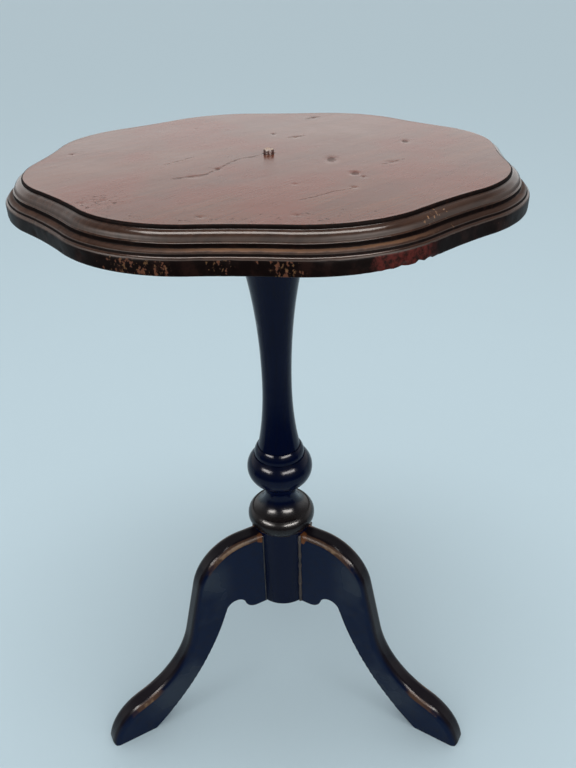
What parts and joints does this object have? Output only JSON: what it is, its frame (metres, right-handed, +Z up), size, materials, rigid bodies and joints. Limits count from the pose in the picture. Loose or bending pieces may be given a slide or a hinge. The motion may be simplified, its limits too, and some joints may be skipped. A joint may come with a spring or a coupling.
{
  "type": "wine table",
  "caption": "Small pedestal side table: a lobed round top with a moulded edge, fixed by a peg to a turned column on cabriole legs with slipper toes.",
  "frame": {"origin": "on the floor, under the column's axis", "axes": "+Z up along the column; +Y towards the back leg, so the two front legs stand to the left and right of -Y"},
  "size_m": [0.3284, 0.3477, 0.5054],
  "materials": {
    "top_mahogany": "worn gloss varnish over dark red-brown stain",
    "peg_wood": "varnished, with a bare pale end",
    "ebonised_wood": "gloss blackened polish, rubbed brown at the edges",
    "wedge_wood": "bare",
    "plate_iron": "dull, lightly rusted",
    "screw_steel": "dulled"
  },
  "bodies": {
    "root": {"table_top": "top_mahogany", "centre_peg": "peg_wood", "top_boss": "ebonised_wood", "tenon_wedges": "wedge_wood", "column": "ebonised_wood", "leg_left": "ebonised_wood", "leg_right": "ebonised_wood", "leg_back": "ebonised_wood", "leg_plate": "plate_iron", "boss_screws": "screw_steel", "plate_screws": "screw_steel"}
  },
  "joints": []
}
